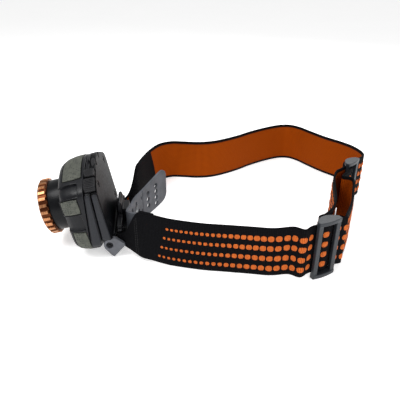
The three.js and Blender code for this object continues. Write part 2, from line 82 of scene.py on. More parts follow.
def lamp_to_hinge(points):
    x, y, v = np.asarray(points, float).T
    f, h = -y, BEAM_HEIGHT + v
    c, s = math.cos(TILT), math.sin(TILT)
    return np.stack([x, HINGE_Y - f * c - h * s, HINGE_Z - f * s + h * c], 1)


def linked(name, data):
    obj = bpy.data.objects.new(name, data)
    bpy.context.collection.objects.link(obj)
    return obj


def solid(name, points, faces):
    mesh = bpy.data.meshes.new(name)
    mesh.from_pydata(np.asarray(points, float).tolist(), [], [tuple(map(int, f)) for f in faces])
    work = bmesh.new()
    work.from_mesh(mesh)
    bmesh.ops.recalc_face_normals(work, faces=work.faces)
    work.to_mesh(mesh)
    work.free()
    return linked(name, mesh)


def coordinates(mesh):
    co = np.empty(len(mesh.vertices) * 3)
    mesh.vertices.foreach_get("co", co)
    return co.reshape(-1, 3)


def discard(obj):
    mesh = obj.data
    bpy.data.objects.remove(obj)
    bpy.data.meshes.remove(mesh)


def set_attribute(obj, name, values):
    layer = obj.data.attributes.new(name, "FLOAT", "POINT")
    layer.data.foreach_set("value", np.asarray(values, np.float32))


def full_turn(count):
    return np.linspace(0, 2 * math.pi, count, endpoint=False)


def circle(a, b, radius, count):
    return [(a + radius * math.cos(t), b + radius * math.sin(t)) for t in full_turn(count)]


def loft(name, loops, closed=False):
    """A tube through loops of equal point counts; the ends are capped unless it closes on itself."""
    loops = np.asarray(loops, float)
    rows, count = loops.shape[:2]
    faces = []
    for i in range(rows if closed else rows - 1):
        a, b = i * count, ((i + 1) % rows) * count
        for j in range(count):
            k = (j + 1) % count
            faces.append((a + j, a + k, b + k, b + j))
    if not closed:
        faces.append(tuple(range(count))[::-1])
        faces.append(tuple(range((rows - 1) * count, rows * count)))
    return solid(name, loops.reshape(-1, 3), faces)


def block(x0, x1, y0, y1, z0, z1):
    return loft("tool", [[(x, y0, z0), (x, y1, z0), (x, y1, z1), (x, y0, z1)] for x in (x0, x1)])


def side_box(side, x0, x1, *rest):
    return block(x0, x1, *rest) if side > 0 else block(-x1, -x0, *rest)


def prism_x(outline, x0, x1):
    return loft("tool", [[(x, y, z) for y, z in outline] for x in (x0, x1)])


def rod(axis, radius, start, end, a, b, sides=48):
    """A round rod along x or y, its other two coordinates at a and b."""
    ring = circle(a, b, radius, sides)
    return loft("tool", [[(at, p, q) if axis == "x" else (p, at, q) for p, q in ring] for at in (start, end)])


def bake(obj):
    depsgraph = bpy.context.evaluated_depsgraph_get()
    mesh = bpy.data.meshes.new_from_object(obj.evaluated_get(depsgraph))
    old = obj.data
    obj.modifiers.clear()
    obj.data = mesh
    bpy.data.meshes.remove(old)
    return obj


def boolean(base, tools, operation="DIFFERENCE"):
    for tool in tools:
        modifier = base.modifiers.new("carve", "BOOLEAN")
        modifier.operation, modifier.solver, modifier.object = operation, "MANIFOLD", tool
        bake(base)
        discard(tool)
    return base


def rounded(obj, voxel=None, passes=4):
    """Remeshes a solid finely and softens it, which rounds its edges."""
    modifier = obj.modifiers.new("remesh", "REMESH")
    modifier.mode, modifier.voxel_size, modifier.use_smooth_shade = "VOXEL", voxel or VOXEL, True
    smooth = obj.modifiers.new("smooth", "SMOOTH")
    smooth.factor, smooth.iterations = 0.5, passes
    return bake(obj)


def merge(name, objs):
    """One object holding the given meshes as they are; each keeps its own material index."""
    points, faces, indices, start = [], [], [], 0
    for number, obj in enumerate(objs):
        mesh = obj.data
        points.append(coordinates(mesh))
        faces += [tuple(v + start for v in p.vertices) for p in mesh.polygons]
        indices += [number] * len(mesh.polygons)
        start += len(mesh.vertices)
        discard(obj)
    mesh = bpy.data.meshes.new(name)
    mesh.from_pydata(np.concatenate(points).tolist(), [], faces)
    mesh.polygons.foreach_set("material_index", indices)
    return linked(name, mesh)


def place(obj, name, where, body, materials, replaces=(), sharp=40):
    """Takes a mesh in millimetres to the row frame and makes it a piece of the object."""
    obj.name = obj.data.name = name
    mesh = obj.data
    co = coordinates(mesh)
    if where == "lamp":
        co = lamp_to_hinge(co)
    mesh.vertices.foreach_set("co", to_row(co).ravel())
    mesh.update()
    mesh.polygons.foreach_set("use_smooth", [True] * len(mesh.polygons))
    if sharp:
        mesh.set_sharp_from_angle(angle=math.radians(sharp))
    indices = np.zeros(len(mesh.polygons), np.int32)
    several = isinstance(materials, list)
    if several:
        mesh.polygons.foreach_get("material_index", indices)
    mesh.materials.clear()
    for material in materials if several else [materials]:
        mesh.materials.append(material)
    mesh.polygons.foreach_set("material_index", indices)
    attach(obj, body)
    if replaces:
        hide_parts(*([replaces] if isinstance(replaces, str) else replaces))
    return obj


def place_on_band(obj, name, materials, replaces=(), sharp=60):
    return place(obj, name, "hinge", "band_and_bracket", materials, replaces, sharp)


# ---- materials ----
def srgb(r, g, b):
    def linear(c):
        return c / 12.92 if c <= 0.04045 else ((c + 0.055) / 1.055) ** 2.4

    return (linear(r / 255), linear(g / 255), linear(b / 255), 1)


class Nodes:
    def __init__(self, name):
        self.material = bpy.data.materials.new(name)
        self.material.use_nodes = True
        self.tree = self.material.node_tree
        self.shader = self.tree.nodes["Principled BSDF"]
        self.coords = self.add("ShaderNodeTexCoord").outputs["Object"]

    def add(self, kind, links=None, **settings):
        item = self.tree.nodes.new(kind)
        for key, value in settings.items():
            setattr(item, key, value)
        for key, value in (links or {}).items():
            self.put(item.inputs[key], value)
        return item

    def put(self, socket, value):
        if isinstance(value, bpy.types.NodeSocket):
            self.tree.links.new(value, socket)
        else:
            socket.default_value = value

    def noise(self, scale, detail=3.0, vector=None):
        links = {"Vector": vector or self.coords, "Scale": scale, "Detail": detail}
        return self.add("ShaderNodeTexNoise", links).outputs[0]

    def math(self, operation, a, b=0.0, c=0.0):
        item = self.add("ShaderNodeMath", operation=operation)
        for socket, value in zip(item.inputs, (a, b, c)):
            self.put(socket, value)
        return item.outputs[0]

    def ramp(self, value, low, high, out_low=0.0, out_high=1.0):
        links = {0: value, 1: low, 2: high, 3: out_low, 4: out_high}
        return self.add("ShaderNodeMapRange", links).outputs[0]

    def mix(self, factor, a, b):
        item = self.add("ShaderNodeMix", data_type="RGBA")
        for socket, value in ((item.inputs[0], factor), (item.inputs[6], a), (item.inputs[7], b)):
            self.put(socket, value)
        return item.outputs[2]

    def bump(self, height, distance, strength=1.0, normal=None):
        links = {"Height": height, "Distance": distance, "Strength": strength}
        if normal is not None:
            links["Normal"] = normal
        return self.add("ShaderNodeBump", links).outputs[0]

    def set(self, **values):
        for key, value in values.items():
            self.put(self.shader.inputs[key.replace("_", " ")], value)
        return self.material


CLOUD_SCALE = 260.0  # of the slow unevenness in colour, per metre


def plain(name, colour, roughness, metallic=0.0, grain=2500.0, depth=0.00004, spread=0.12, **extra):
    """A moulded or metal finish: slightly uneven colour and roughness over a fine grain."""
    n = Nodes(name)
    cloud = n.noise(CLOUD_SCALE, 4.0)
    dark = tuple(c * (1 - spread) for c in colour[:3]) + (1,)
    light = tuple(min(1, c * (1 + spread)) for c in colour[:3]) + (1,)
    base = n.mix(n.ramp(cloud, 0.35, 0.65), dark, light)
    rough = n.ramp(n.noise(CLOUD_SCALE * 3, 3.0), 0.3, 0.7, roughness * 0.88, min(1, roughness * 1.12))
    normal = n.bump(n.noise(grain, 2.0), depth)
    n.set(Base_Color=base, Roughness=rough, Metallic=metallic, Normal=normal)
    return n.set(**extra) if extra else n.material


HOUSING = plain("housing_satin", srgb(17, 18, 22), 0.36, grain=4200.0, depth=0.00003, Specular_IOR_Level=0.24)
SMOOTH = {"grain": 900.0, "depth": 0.000008, "spread": 0.05}
GLOSS = plain("gloss_black", srgb(9, 10, 13), 0.46, Specular_IOR_Level=0.08, **SMOOTH)
BARREL = plain("barrel_black", srgb(12, 13, 16), 0.3, Specular_IOR_Level=0.16, **SMOOTH)
STEEL = plain("steel", srgb(165, 166, 168), 0.32, 0.95, grain=3000.0)
DARK_STEEL = plain("blackened_steel", srgb(40, 41, 44), 0.4, 0.9, grain=3000.0)
RUBBER = plain("rubber", srgb(20, 20, 23), 0.6, grain=5200.0, depth=0.00005, Specular_IOR_Level=0.35)
SLIDER_MAT = plain("slider_satin", srgb(36, 40, 45), 0.42, grain=4000.0, Specular_IOR_Level=0.35)
EAR_MAT = plain("bracket_satin", srgb(84, 86, 92), 0.5, grain=4000.0)
BOARD = plain("board", srgb(24, 84, 50), 0.45, grain=1500.0)
ALLOY = plain("alloy", srgb(180, 184, 188), 0.4, 0.85, grain=1800.0)
CELL = plain("cell_wrap", srgb(48, 96, 158), 0.4, grain=600.0)
THREAD = plain("thread", srgb(11, 11, 13), 0.8, grain=6000.0)
EMITTER = plain("emitter", srgb(240, 214, 96), 0.35, grain=1500.0)


def glass_material():
    n = Nodes("lens_clear")
    rough = n.ramp(n.noise(400.0), 0.3, 0.7, 0.01, 0.04)
    return n.set(Base_Color=srgb(236, 243, 245), Roughness=rough, Transmission_Weight=1.0, IOR=1.49)


def copper_material():
    n = Nodes("copper_anodised")
    brushed = n.add("ShaderNodeMapping", {"Vector": n.coords, "Scale": (1, 6, 1)})
    cloud = n.noise(420.0, 5.0, brushed.outputs[0])
    face = n.mix(n.ramp(cloud, 0.3, 0.7), srgb(158, 100, 64), srgb(212, 154, 110))
    # the copper is mixed to a dark brown where the groove attribute is 1, between the ribs: painted shade in
    # the grooves
    base = n.mix(attribute(n, "groove"), face, srgb(84, 44, 24))
    normal = n.bump(n.noise(3400.0, 3.0), 0.00003)
    return n.set(Base_Color=base, Metallic=0.95, Roughness=n.ramp(cloud, 0.3, 0.7, 0.28, 0.38), Normal=normal)


def plate_material():
    """Grey-green moulded plates with a pitted, dotted face: the dark dots are painted shade in the pits."""
    n = Nodes("plate_pitted")
    pits = n.add("ShaderNodeTexVoronoi", {"Vector": n.coords, "Scale": 720.0, "Randomness": 0.3})
    cup = n.ramp(pits.outputs["Distance"], 0.14, 0.4)
    shade = n.mix(n.ramp(n.noise(380.0, 4.0), 0.3, 0.7), srgb(62, 65, 58), srgb(84, 86, 77))
    # the pit centres are mixed towards near-black: painted shade in the pits, whose relief is only a bump
    base = n.mix(n.ramp(cup, 0.0, 1.0, 0.8, 0.0), shade, srgb(22, 24, 23))
    normal = n.bump(cup, 0.00022, 0.9)
    return n.set(Base_Color=base, Roughness=0.72, Normal=n.bump(n.noise(5200.0, 2.0), 0.00004, 0.6, normal))


def strip_material():
    """Satin side strips with a fine vertical grain."""
    n = Nodes("strip_grained")
    stretched = n.add("ShaderNodeMapping", {"Vector": n.coords, "Scale": (1, 9, 1)})
    grain = n.noise(900.0, 4.0, stretched.outputs[0])
    base = n.mix(n.ramp(grain, 0.3, 0.7), srgb(20, 22, 26), srgb(36, 38, 44))
    rough = n.ramp(grain, 0.3, 0.7, 0.4, 0.55)
    return n.set(Base_Color=base, Roughness=rough, Normal=n.bump(grain, 0.00005), Specular_IOR_Level=0.3)


def pad_material():
    n = Nodes("pad_soft")
    cloud = n.noise(150.0, 4.0)
    base = n.mix(n.ramp(cloud, 0.3, 0.7), srgb(58, 61, 67), srgb(78, 81, 88))
    return n.set(Base_Color=base, Roughness=0.62, Normal=n.bump(n.noise(3600.0, 2.0), 0.00005))


def attribute(n, name):
    return n.add("ShaderNodeAttribute", attribute_name=name).outputs["Fac"]


def weave(n, along, across, pitch_along, pitch_across):
    """Height of a plain weave from distances in millimetres along and across the band."""
    a = n.math("SINE", n.math("MULTIPLY", along, 2 * math.pi / pitch_along))
    b = n.math("SINE", n.math("MULTIPLY", across, 2 * math.pi / pitch_across))
    return n.math("ADD", n.math("MULTIPLY", a, 0.5), n.math("MULTIPLY", b, 0.35))


def band_material():
    """Elastic webbing: black outside, burnt orange inside between black selvedges."""
    n = Nodes("webbing")
    along, across, face = (attribute(n, name) for name in ("along", "across", "side"))
    height = weave(n, along, across, 0.95, 1.05)
    fuzz = n.noise(5200.0, 3.0)
    shade = n.ramp(n.math("ADD", height, fuzz), -0.3, 1.3)
    black = n.mix(shade, srgb(4, 4, 5), srgb(16, 16, 19))
    orange = n.mix(shade, srgb(100, 39, 0), srgb(172, 74, 3))
    edge = n.ramp(n.math("ABSOLUTE", across), BAND_WIDTH / 2 - 2.4, BAND_WIDTH / 2 - 1.9)
    inside = n.math("MULTIPLY", n.ramp(face, -0.2, -0.7), n.math("SUBTRACT", 1.0, edge))
    base = n.mix(inside, black, orange)
    normal = n.bump(height, 0.00011, 0.9)
    normal = n.bump(fuzz, 0.00006, 0.8, normal)
    return n.set(Base_Color=base, Roughness=0.86, Normal=normal, Specular_IOR_Level=0.06)


def dot_material():
    n = Nodes("dot_thread")
    along, across = attribute(n, "along"), attribute(n, "across")
    height = weave(n, along, across, 0.7, 0.62)
    cloud = n.noise(1600.0, 4.0)
    base = n.mix(n.ramp(n.math("ADD", height, cloud), -0.2, 1.2), srgb(146, 56, 12), srgb(222, 116, 42))
    return n.set(Base_Color=base, Roughness=0.74, Normal=n.bump(height, 0.00009, 0.8), Specular_IOR_Level=0.2)


LENS, COPPER, PLATE, STRIP = glass_material(), copper_material(), plate_material(), strip_material()
PAD, BAND, DOT = pad_material(), band_material(), dot_material()


# ---- the casing ----
def outline_radius(angle, f):
    """The casing's outline: an octagon with rounded corners, softer towards the front."""
    sharpness = np.interp(f, [2, 13], [22, 11])
    faces = [(0, CASING_SIDE), (180, CASING_SIDE), (90, CASING_TOP), (-90, CASING_TOP),
             (CHAMFER_TURN, CHAMFER), (180 - CHAMFER_TURN, CHAMFER),
             (-CHAMFER_TURN, CHAMFER_UNDER), (CHAMFER_TURN - 180, CHAMFER_UNDER)]
    total = sum((np.maximum(np.cos(angle - math.radians(d)), 1e-6) / r) ** sharpness for d, r in faces)
    return total ** (-1 / sharpness)


def body_scale(f):
    stations = [REAR_FACE, -2.9, 12, 14.5, 17, 18.8, RIM]
    return np.interp(f, stations, [0.975, 1, 1, 0.985, 0.96, 0.925, 0.885])


def skin(angle, f, off=0.0):
    r = outline_radius(angle, f) * body_scale(f) + off
    return r * np.cos(angle), -f, r * np.sin(angle)


ANGLES = full_turn(240)


def casing_loft(stations, inset=0.0):
    """stations: forward distance, lean per millimetre of height, extra scale."""
    loops = []
    for f, lean, scale in stations:
        r = outline_radius(ANGLES, f) * body_scale(f) * scale - inset
        v = r * np.sin(ANGLES)
        loops.append(np.stack([r * np.cos(ANGLES), -(f + lean * v), v], 1))
    return loft("casing", loops)


def patch(a0, a1, f0, f1, low, high, na=26, nf=12, corner=0.25, lean=(0.0, 0.0), edge=0.16, relief=None):
    """A pad that follows the casing between two angles (degrees) and two forward distances, from offset
    low to offset high above the skin, with rolled edges. relief(u, w) adds to the top, for u, w in -1..1."""
    u = np.linspace(-1, 1, na + 1)
    w = np.linspace(-1, 1, nf + 1)
    uu, ww = np.meshgrid(u, w, indexing="ij")
    pu = uu * np.sqrt(1 - corner * ww**2 / 2)
    pw = ww * np.sqrt(1 - corner * uu**2 / 2)
    angle = np.radians((a0 + a1) / 2 + pu * (a1 - a0) / 2)
    v = outline_radius(angle, (f0 + f1) / 2) * np.sin(angle)
    start, end = f0 + lean[0] * v, f1 + lean[1] * v
    f = (start + end) / 2 + pw * (end - start) / 2
    rim = np.maximum(np.abs(uu) ** 6, np.abs(ww) ** 6)
    top = high - edge * (1 - np.sqrt(np.clip(1 - rim**2, 0, 1))) * 2
    if relief is not None:
        top = top + relief(uu, ww) * (1 - rim)
    grids = [np.stack(skin(angle, f, off), -1).reshape(-1, 3) for off in (top, low)]
    faces, row, size = [], nf + 1, (na + 1) * (nf + 1)
    for i in range(na):
        for j in range(nf):
            q = (i * row + j, (i + 1) * row + j, (i + 1) * row + j + 1, i * row + j + 1)
            faces += [q, tuple(size + k for k in q[::-1])]
    border = [i * row for i in range(na)] + [na * row + j for j in range(nf)]
    border += [i * row + nf for i in range(na, 0, -1)] + [j for j in range(nf, 0, -1)]
    for a, b in zip(border, border[1:] + border[:1]):
        faces.append((b, a, a + size, b + size))
    return solid("patch", np.concatenate(grids), faces)


def both(a0, a1):
    return [(a0, a1), (180 - a1, 180 - a0)]


PLATES = {
    "inlay_top": (50, 130, 5.2, 16.8), "inlay_bottom": (-118, -62, 10.8, 17.4),
    "inlay_right_upper": (9.5, 26, 9, 19.2), "inlay_left_upper": (154, 170.5, 9, 19.2),
    "inlay_right_lower": (-42, -15, 10, 18), "inlay_left_lower": (195, 222, 10, 18),
}
RECESSES = [(27.5, 44, 7.6, 22.5), (-12.8, 8, 9.2, 22.5)]


def cavity():
    """The hollow inside the casing, with a floor above the hinge's step."""
    room = casing_loft([(-1.9, 0, 1), (16.6, 0, 1)], inset=4.2)
    return boolean(room, [block(-40, 40, -8.2, 12, -40, -14.4)])


def notch():
    return block(-40, 40, -NOTCH_FRONT, 14, -42, NOTCH_TOP)


def shoulder_box(half, low, high, f0, f1):
    """A block square to the shoulder at the socket, from one depth under its face to another."""
    a, turn = math.radians(SOCKET_ANGLE), math.radians(CHAMFER_TURN)
    out, side = np.array([math.cos(turn), math.sin(turn)]), np.array([math.sin(turn), -math.cos(turn)])
    foot = CHAMFER / math.cos(turn - a) * np.array([math.cos(a), math.sin(a)])
    loops = []
    for depth in (low, high):
        p, q = (foot - out * depth + side * half * k for k in (-1, 1))
        loops.append([(p[0], -f0, p[1]), (q[0], -f0, q[1]), (q[0], -f1, q[1]), (p[0], -f1, p[1])])
    return loft("tool", loops)


def side_pockets():
    """Cutters shared by the rear cover and the mid frame: cover bed, socket window, slot and buttons."""
    tools = [patch(29.6, 60.6, -3.3, 4.2, -2.5, 6, corner=0.12)]
    tools.append(shoulder_box(4.7, 9.0, -4.0, -1.3, 2.3))
    tools.append(rod("y", 1.1, -4.2, 3.3, *PORT_HINGE, 24))
    tools.append(patch(71.4, 80.6, 0.05, 1.45, -1.3, 5, corner=0.6))
    for middle in (-BUTTON_X, BUTTON_X):
        tools.append(button_block(middle, 0.25, 22.7, 34))
    return tools


def button_block(middle, grow, low, high):
    """A drop-shaped button: round at its inner end and drawn to a point at its outer end."""
    outline = []
    for i in range(40):
        t = 2 * math.pi * i / 40
        squeeze = 1 - 0.42 * (0.5 + 0.5 * math.cos(t)) ** 2
        outline.append(((4.3 + grow) * math.cos(t), (1.35 + grow) * math.sin(t) * squeeze))
    side = 1 if middle > 0 else -1
    return loft("button", [[(middle + side * x, y - BUTTON_F, v) for x, y in outline] for v in (low, high)])


def front_housing():
    shell = casing_loft([(SEAM_SHELL + SEAM_GAP, LEAN_SHELL, 0.986), (SEAM_SHELL + 0.55, LEAN_SHELL, 1)] +
                        [(f, 0, 1) for f in (12, 13, 14.5, 17, 18.8, 19.6, RIM)])
    tools = [cavity(), rod("y", BARREL_R + 0.3, -RIM - 2, -10, *BEAM, 96)]
    for a0, a1, f0, f1 in PLATES.values():
        tools.append(patch(a0 - 1, a1 + 1, f0 - 0.4, f1 + 0.4, -1.1, 5, corner=0.12))
    for low, high, f0, f1 in RECESSES:
        for a0, a1 in both(low, high):
            tools.append(patch(a0, a1, f0, f1, -1.9, 6, corner=0.16))
    shell = rounded(boolean(shell, tools))
    place(shell, "front_shell", "lamp", "lamp", HOUSING, "front_housing", sharp=None)
    for name, (a0, a1, f0, f1) in PLATES.items():
        ripple = 0.1 if "upper" in name else 0.0
        plate = patch(a0, a1, f0, f1, -1.0, 0.28, na=64, nf=24, corner=0.14,
                      relief=lambda u, w: ripple * np.sin(u * 22))
        place(plate, name.replace("inlay", "plate"), "lamp", "lamp", PLATE, name, sharp=50)


def mid_frame():
    ring = casing_loft([(SEAM_FRAME + SEAM_GAP, LEAN_FRAME, 0.988), (SEAM_FRAME + 0.5, LEAN_FRAME, 1),
                        (SEAM_SHELL - 0.5, LEAN_SHELL, 1), (SEAM_SHELL - SEAM_GAP, LEAN_SHELL, 0.988)])
    tools = [cavity(), notch(), rod("y", BARREL_R + 0.3, -20, -6.0, *BEAM, 96)] + side_pockets()
    ring = rounded(boolean(ring, tools))
    strips = [patch(a0, a1, SEAM_FRAME + 0.75, SEAM_SHELL - 0.75, -0.8, 0.55, na=60, nf=14, corner=0.1,
                    lean=(LEAN_FRAME, LEAN_SHELL), edge=0.25) for a0, a1 in both(-34, 27)]
    whole = merge("mid", [ring] + strips)
    place(whole, "frame_band", "lamp", "lamp", [HOUSING, STRIP, STRIP], "mid_frame", sharp=None)


def rear_cover():
    cover = casing_loft([(REAR_FACE, 0, 0.985), (REAR_FACE + 0.35, 0, 0.998), (-2.6, 0, 1),
                         (SEAM_FRAME - 0.5, LEAN_FRAME, 1), (SEAM_FRAME - SEAM_GAP, LEAN_FRAME, 0.988)])
    tools = [cavity(), notch()] + side_pockets()
    tools += [rod("y", 2.0, 2.0, 6.0, x, v, 24) for x, v in SCREWS]
    cover = rounded(boolean(cover, tools), passes=2)
    strips = [patch(a0, a1, REAR_FACE + 0.6, SEAM_FRAME - 0.6, -0.8, 0.75, na=60, nf=14, corner=0.14,
                    lean=(0, LEAN_FRAME), edge=0.3) for a0, a1 in both(-28.5, 27)]
    whole = merge("rear", [cover] + strips)
    place(whole, "back_cover", "lamp", "lamp", [GLOSS, STRIP, STRIP], "rear_cover", sharp=None)


SCREWS = [(-20, -11), (20, -11), (-18.5, 16), (18.5, 16)]


def cover_screws():
    for i, (x, v) in enumerate(SCREWS):
        head = rod("y", 1.75, 2.2, 3.2, x, v, 40)
        shank = rod("y", 1.0, 0.2, 2.4, x, v, 24)
        wavy = [(0.82 + 0.2 * math.cos(6 * t), t) for t in full_turn(36)]
        star = [(r * math.cos(t), r * math.sin(t)) for r, t in wavy]
        socket = loft("tool", [[(x + p, y, v + q) for p, q in star] for y in (2.5, 4.2)])
        screw = rounded(boolean(boolean(head, [shank], "UNION"), [socket]), 0.11 if FINE else 0.2, 2)
        node = f"cover_screw_{i + 1}"
        place(screw, f"back_screw_{i + 1}", "lamp", "lamp", DARK_STEEL, node, sharp=None)


def port_cover():
    bevel = np.interp(np.linspace(-1, 1, 91), [-1, -0.85, -0.4], [-1.0, -0.7, 0.5])[:, None]
    ribs = patch(30.2, 47, -2.9, 3.8, -2.1, bevel, na=90, nf=14, corner=0.14,
                 relief=lambda u, w: 0.26 * np.sin(u * 26))
    knob = patch(48.6, 60, -3.0, 3.0, -2.1, 1.7, na=60, nf=34, corner=0.3, edge=0.55,
                 relief=lambda u, w: 0.26 * np.sin(u * 18) * np.sin(w * 14))
    web = patch(45, 50.5, -2.4, 3.2, -2.2, -1.1, na=8, nf=8, corner=0.05)
    whole = merge("port", [ribs, knob, web])
    place(whole, "port_flap", "lamp", "port_cover", [RUBBER] * 3, "port_cover", sharp=50)


def socket():
    shell = boolean(shoulder_box(4.4, 7.6, 2.7, -1.0, 2.0), [shoulder_box(3.9, 6.6, 1.0, -0.6, 1.6)])
    shell = boolean(shell, [shoulder_box(3.2, 7.0, 3.6, 0.25, 0.75)], "UNION")
    shell = rounded(shell, 0.12 if FINE else 0.25, 2)
    place(shell, "charging_socket", "lamp", "lamp", STEEL, "usb_socket", sharp=None)


def buttons():
    for middle, name in ((-BUTTON_X, "power_button"), (BUTTON_X, "sensor_button")):
        cap = button_block(middle, 0, 23.9, 28.2)
        cap = boolean(cap, [casing_loft([(-3.4, 0, 1), (4, 0, 1)], inset=-0.45)], "INTERSECT")
        cap = rounded(cap, 0.14 if FINE else 0.25, 5)
        place(cap, name + "_cap", "lamp", name, RUBBER, name, sharp=None)


def window():
    bar = patch(72, 80, 0.2, 1.3, -1.2, -0.5, na=20, nf=6, corner=0.6)
    place(bar, "indicator_lens", "lamp", "lamp", GLOSS, "indicator_window", sharp=50)


# ---- turned pieces about the beam ----
def lathe(profile, sides=192, swell=None):
    """A turned piece from a closed profile of (radius, forward distance), perhaps with a radius that
    changes round it: swell(angle, radius, forward)."""
    t = full_turn(sides)
    loops = []
    for r, f in profile:
        radius = np.full(sides, float(r))
        if swell is not None:
            radius = radius + swell(t, r, f)
        loops.append(np.stack([radius * np.cos(t), np.full(sides, -f), radius * np.sin(t)], 1))
    return loft("turned", loops, closed=True)


def softened(profile, cut=0.25):
    """A closed profile with its corners rounded by short arcs."""
    pts = np.array(profile, float)
    out = []
    for i, p in enumerate(pts):
        a, b = pts[i - 1] - p, pts[(i + 1) % len(pts)] - p
        la, lb = np.linalg.norm(a), np.linalg.norm(b)
        d = min(cut, la * 0.4, lb * 0.4)
        start, end = p + a / la * d, p + b / lb * d
        out += [start, (start + end) / 4 + p / 2, end]
    return out


def focus_ring():
    def ribs(t, r, f):
        if r < RING_R - 0.3:
            return 0 * t
        wave = np.cos(t * RING_RIBS)
        lift = np.clip((wave + 0.25) / 0.5, 0, 1)
        ends = np.clip(min(f - RING_BACK - 0.25, RING_FRONT - 0.55 - f) / 0.45, 0, 1)
        return lift * lift * (3 - 2 * lift) * ends

    steps = np.linspace(RING_BACK + 0.25, RING_FRONT - 0.55, 22)
    outer = [(RING_R, f) for f in steps]
    profile = [(15.75, RING_BACK), (RING_R - 0.2, RING_BACK)] + outer + [
        (RING_R - 0.15, RING_FRONT - 0.25), (RING_R - 0.6, RING_FRONT), (14.9, RING_FRONT),
        (14.65, RING_FRONT - 0.2), (14.65, RING_FRONT - 0.8), (15.6, RING_FRONT - 0.9),
        (15.6, RING_BACK + 0.2)]
    hoop = lathe(profile, RING_RIBS * 20, ribs)
    x, y, z = coordinates(hoop.data).T
    radius = np.hypot(x, z)
    outside = (radius > 16.2) * (-y < RING_FRONT - 0.5)
    # groove is 1 between the ribs and fades to 0 on their tops; the copper material paints it darker there,
    # as painted shade
    set_attribute(hoop, "groove", (1 - smoothstep(radius, RING_R + 0.1, RING_R + 0.8)) * outside)
    place(hoop, "ring", "lamp", "focus_ring", COPPER, "focus_ring", sharp=50)


def barrel():
    tube = softened([(14.4, 12.4), (BARREL_R, 12.4), (BARREL_R, 20.6), (15.75, 21.0), (15.75, 21.6),
                     (BARREL_R, 22.0), (BARREL_R, RING_BACK - 0.3), (15.3, RING_BACK - 0.3), (15.3, 35),
                     (14.4, 35), (14.4, 32.9), (13.6, 32.9), (13.6, 32.4), (14.4, 32.4)], 0.15)
    place(lathe(tube), "barrel", "lamp", "barrel", BARREL, "zoom_barrel", sharp=45)
    edge, back, rise = 13.2, 27.6, 4.5  # of the lens: its radius, its flat side and its dome's height
    front = [(edge, back + 0.6)]
    for r in np.linspace(edge, 0.02, 26)[1:]:
        front.append((r, back + rise * (1 - (r / edge) ** 2.6) ** 0.6))
    loops = []
    t = full_turn(128)
    for r, f in [(0.02, back), (6, back), (edge, back)] + front:
        loops.append(np.stack([r * np.cos(t), np.full(128, -f), r * np.sin(t)], 1))
    place(loft("lens", loops), "lens_glass", "lamp", "barrel", LENS, "lens", sharp=40)
    ring = softened([(12.7, 33.2), (14.1, 33.2), (14.1, 34.8), (12.2, 34.8)], 0.2)
    place(lathe(ring), "lens_clamp", "lamp", "barrel", BARREL, "lens_retainer", sharp=45)
    seat = softened([(13.5, 26.4), (14.1, 26.4), (14.1, 32.1), (13.5, 32.1), (13.5, 27.3), (12, 27.3),
                     (12, 26.4)], 0.1)
    place(lathe(seat), "lens_cup", "lamp", "barrel", BARREL, "lens_seat", sharp=45)


# ---- hinge and bracket ----
def hinge_rod(radius, start=-30, end=30, sides=48):
    return rod("x", radius, start, end, HINGE_Y, HINGE_Z, sides)


EAR = [(-11.0, 7.9), (-10.9, 10.2), (-10.2, 12.2), (-9.0, 13.0), (-7.4, 13.35), (-4.3, 13.5), (-3.2, 13.0),
       (1.7, 8.9), (1.9, 8.2), (1.6, 7.5), (-4.6, 0.6), (-5.5, 0.25), (-6.4, 0.7), (-10.4, 6.0)]
# each side's arm, spacer and the two ends of its post, as boxes
BRACKET_END = [(20, 25.4, -2.8, -0.6, 5.2, 9.6), (7, 16, 0, 2.9, 6, 14),
               (19.4, 22.4, -2.4, 0.3, 4.4, 6.0), (19.4, 22.4, -2.4, 0.3, 15.2, 16.8)]


def bracket():
    ears = [boolean(prism_x(EAR, *span), [hinge_rod(2.1)]) for span in ((24, 27), (-27, -24))]
    solids = []
    for side in (-1, 1):
        solids += [side_box(side, *box) for box in BRACKET_END]
        post = circle(side * POST_X, POST_Y, 0.85, 24)
        solids.append(loft("post", [[(x, y, z) for x, y in post] for z in (4.8, 16.4)]))
    tongue = prism_x([(-2.6, 12), (0.4, 12), (0.4, 25), (-0.3, 27.2), (-1.4, 28), (-2.4, 27)], -8, 8)
    solids += [tongue, block(-6, 6, 0, 4.4, 9, 22)]
    solids += [block(x - 0.7, x + 0.7, -3.3, 0, 3, 12.6) for x in (-16, -8, 0, 8, 16)]
    wavy = [(4.1 + 0.205 * math.cos(9 * t), t) for t in full_turn(90)]
    knob = [(r * math.cos(t), r * math.sin(t)) for r, t in wavy]
    solids.append(loft("knob", [[(p, y, 20.5 + q) for p, q in knob] for y in (-3.6, -1.0)]))
    base = boolean(block(-20.4, 20.4, -2.8, 0.3, 2, 18.6), solids, "UNION")
    whole = merge("bracket", [rounded(base, passes=5)] + [rounded(e, passes=5) for e in ears])
    place_on_band(whole, "bracket", [HOUSING, EAR_MAT, EAR_MAT], "hinge_bracket", None)


